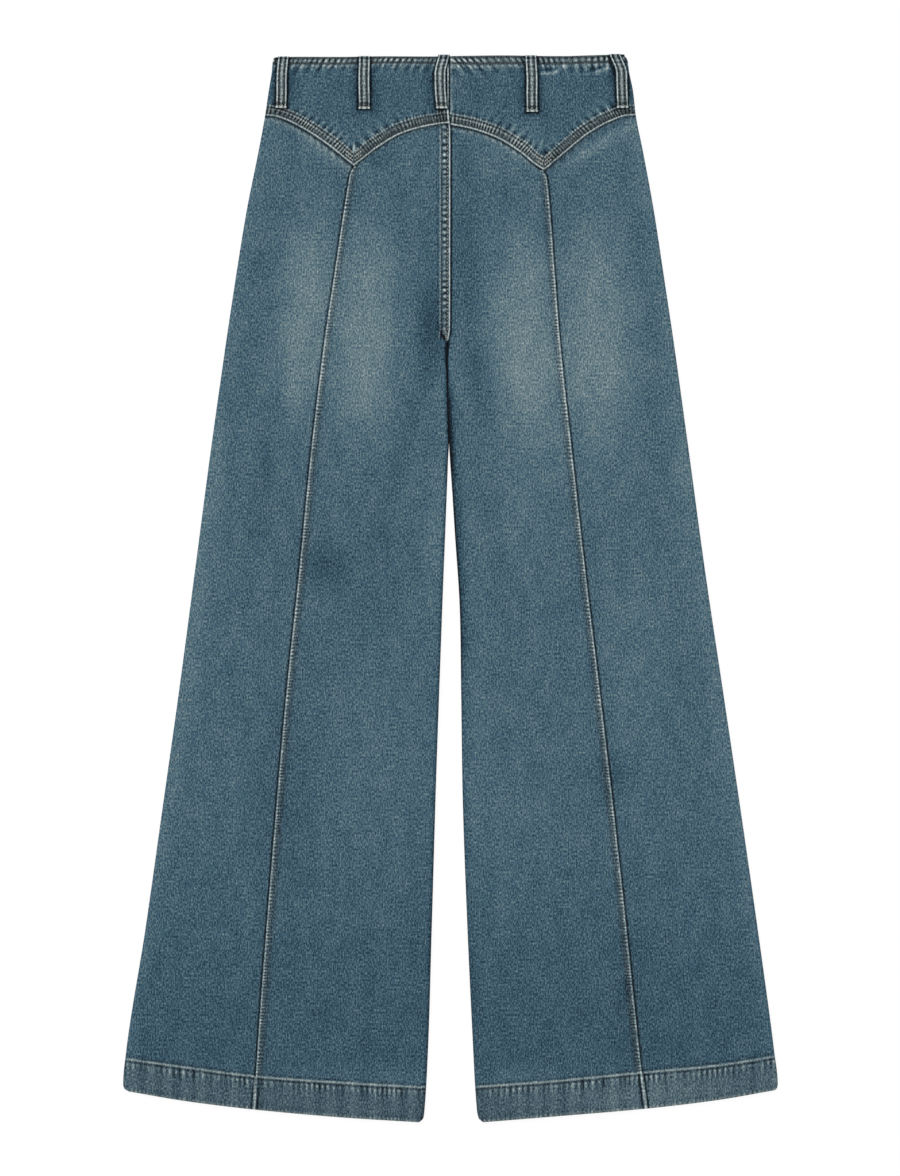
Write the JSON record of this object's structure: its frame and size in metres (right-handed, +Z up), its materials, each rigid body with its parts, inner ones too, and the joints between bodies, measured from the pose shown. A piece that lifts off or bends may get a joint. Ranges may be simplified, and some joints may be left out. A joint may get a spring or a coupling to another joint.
{
  "type": "wide leg jeans",
  "caption": "Wide leg jeans in worn blue denim, lying flat with the back up: pointed back yokes, long vertical back seams, belt loops and deep hems.",
  "frame": {"origin": "on the surface the garment lies on, under the middle of its bounding box", "axes": "+Z up from the surface, +Y from the hems towards the waist, +X to the wearer's right, which is the right of the back as seen from above"},
  "size_m": [0.6552, 1.069, 0.0085],
  "materials": {
    "denim": "washed blue denim twill, pale where worn, matte",
    "denim_loop": "the same denim, worn paler on its folded edges",
    "button_metal": "aged, dull metal"
  },
  "bodies": {
    "root": {"yoke_left": "denim", "yoke_right": "denim", "back_side_left": "denim", "back_side_right": "denim", "back_centre_left": "denim", "back_centre_right": "denim", "front_left": "denim", "front_right": "denim", "belt_loop_side_left": "denim_loop", "belt_loop_back_left": "denim_loop", "belt_loop_centre_back": "denim_loop", "belt_loop_back_right": "denim_loop", "belt_loop_side_right": "denim_loop", "belt_loop_front_left": "denim_loop", "belt_loop_front_right": "denim_loop", "waist_button": "button_metal"}
  },
  "joints": []
}
